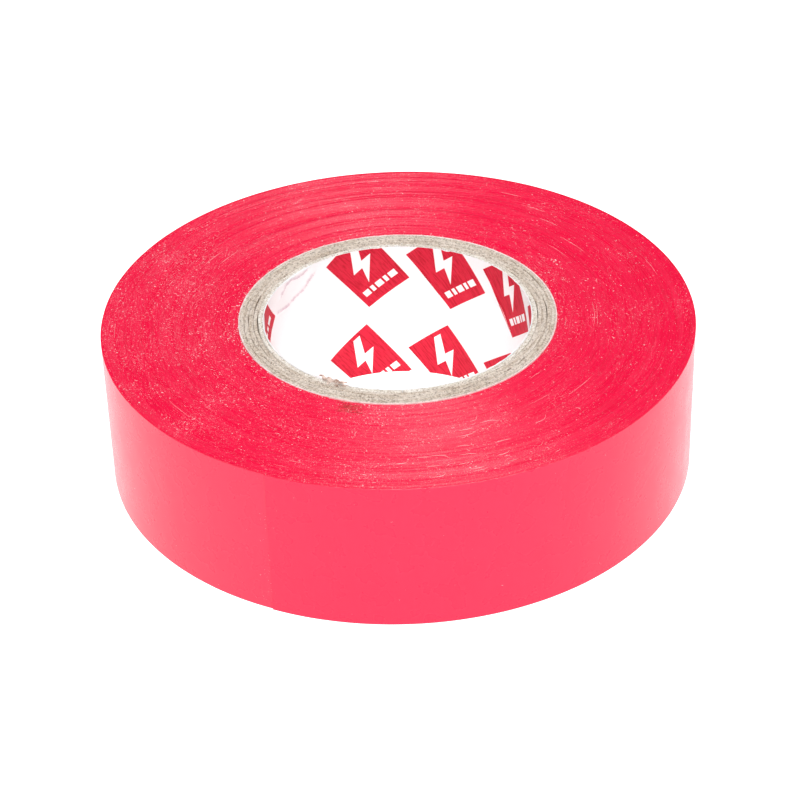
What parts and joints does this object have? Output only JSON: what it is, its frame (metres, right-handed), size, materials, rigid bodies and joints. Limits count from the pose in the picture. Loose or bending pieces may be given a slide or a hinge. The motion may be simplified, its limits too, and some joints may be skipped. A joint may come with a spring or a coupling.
{
  "type": "electrical tape roll",
  "caption": "Roll of soft red electrical tape wound on a layered paper core, lying flat, with a free end of tape that peels outwards from the roll.",
  "frame": {"origin": "on the roll's axis, at the middle of the face it lies on", "axes": "+Z along the roll's axis, away from the face it lies on; the free edge of the tape is at 115 degrees clockwise from +X, on the -Y side"},
  "size_m": [0.072, 0.0721, 0.019],
  "materials": {
    "tape_edges": "satin",
    "tape_film": "gloss",
    "greyboard": "matte",
    "white_paper": "matte",
    "printed_paper": "satin"
  },
  "bodies": {
    "roll": {"bore_liner": "printed_paper", "core_ply_1": "greyboard", "core_ply_2": "greyboard", "core_ply_3": "greyboard", "core_ply_4": "greyboard", "core_ply_5": "greyboard", "core_white_wrap": "white_paper", "wound_tape": "tape_edges", "outer_turn": "tape_film"},
    "tape_end_01": {"tape_end_01": "tape_film"},
    "tape_end_02": {"tape_end_02": "tape_film"},
    "tape_end_03": {"tape_end_03": "tape_film"},
    "tape_end_04": {"tape_end_04": "tape_film"},
    "tape_end_05": {"tape_end_05": "tape_film"},
    "tape_end_06": {"tape_end_06": "tape_film"},
    "tape_end_07": {"tape_end_07": "tape_film"},
    "tape_end_08": {"tape_end_08": "tape_film"},
    "tape_end_09": {"tape_end_09": "tape_film"},
    "tape_end_10": {"tape_end_10": "tape_film"},
    "tape_end_11": {"tape_end_11": "tape_film"},
    "tape_end_12": {"tape_end_12": "tape_film"}
  },
  "joints": [
    {"name": "peel_01", "type": "hinge", "parent": "roll", "child": "tape_end_01", "pos_m": [0.02811, -0.0226, 0.0095], "axis": [0, 0, 1], "range_deg": [0, 15]},
    {"name": "peel_02", "type": "hinge", "parent": "tape_end_01", "child": "tape_end_02", "pos_m": [0.02544, -0.02558, 0.0095], "axis": [0, 0, 1], "range_deg": [0, 15]},
    {"name": "peel_03", "type": "hinge", "parent": "tape_end_02", "child": "tape_end_03", "pos_m": [0.02246, -0.02824, 0.0095], "axis": [0, 0, 1], "range_deg": [0, 15]},
    {"name": "peel_04", "type": "hinge", "parent": "tape_end_03", "child": "tape_end_04", "pos_m": [0.0192, -0.03055, 0.0095], "axis": [0, 0, 1], "range_deg": [0, 15]},
    {"name": "peel_05", "type": "hinge", "parent": "tape_end_04", "child": "tape_end_05", "pos_m": [0.0157, -0.03249, 0.0095], "axis": [0, 0, 1], "range_deg": [0, 15]},
    {"name": "peel_06", "type": "hinge", "parent": "tape_end_05", "child": "tape_end_06", "pos_m": [0.01201, -0.03403, 0.0095], "axis": [0, 0, 1], "range_deg": [0, 15]},
    {"name": "peel_07", "type": "hinge", "parent": "tape_end_06", "child": "tape_end_07", "pos_m": [0.00818, -0.03515, 0.0095], "axis": [0, 0, 1], "range_deg": [0, 15]},
    {"name": "peel_08", "type": "hinge", "parent": "tape_end_07", "child": "tape_end_08", "pos_m": [0.00424, -0.03584, 0.0095], "axis": [0, 0, 1], "range_deg": [0, 15]},
    {"name": "peel_09", "type": "hinge", "parent": "tape_end_08", "child": "tape_end_09", "pos_m": [0.00025, -0.0361, 0.0095], "axis": [0, 0, 1], "range_deg": [0, 15]},
    {"name": "peel_10", "type": "hinge", "parent": "tape_end_09", "child": "tape_end_10", "pos_m": [-0.00374, -0.0359, 0.0095], "axis": [0, 0, 1], "range_deg": [0, 15]},
    {"name": "peel_11", "type": "hinge", "parent": "tape_end_10", "child": "tape_end_11", "pos_m": [-0.00769, -0.03527, 0.0095], "axis": [0, 0, 1], "range_deg": [0, 15]},
    {"name": "peel_12", "type": "hinge", "parent": "tape_end_11", "child": "tape_end_12", "pos_m": [-0.01155, -0.0342, 0.0095], "axis": [0, 0, 1], "range_deg": [0, 15]}
  ],
  "couplings": [
    {"joint": "peel_02", "follows": "peel_01", "ratio": 1},
    {"joint": "peel_03", "follows": "peel_01", "ratio": 1},
    {"joint": "peel_04", "follows": "peel_01", "ratio": 1},
    {"joint": "peel_05", "follows": "peel_01", "ratio": 1},
    {"joint": "peel_06", "follows": "peel_01", "ratio": 1},
    {"joint": "peel_07", "follows": "peel_01", "ratio": 1},
    {"joint": "peel_08", "follows": "peel_01", "ratio": 1},
    {"joint": "peel_09", "follows": "peel_01", "ratio": 1},
    {"joint": "peel_10", "follows": "peel_01", "ratio": 1},
    {"joint": "peel_11", "follows": "peel_01", "ratio": 1},
    {"joint": "peel_12", "follows": "peel_01", "ratio": 1}
  ]
}
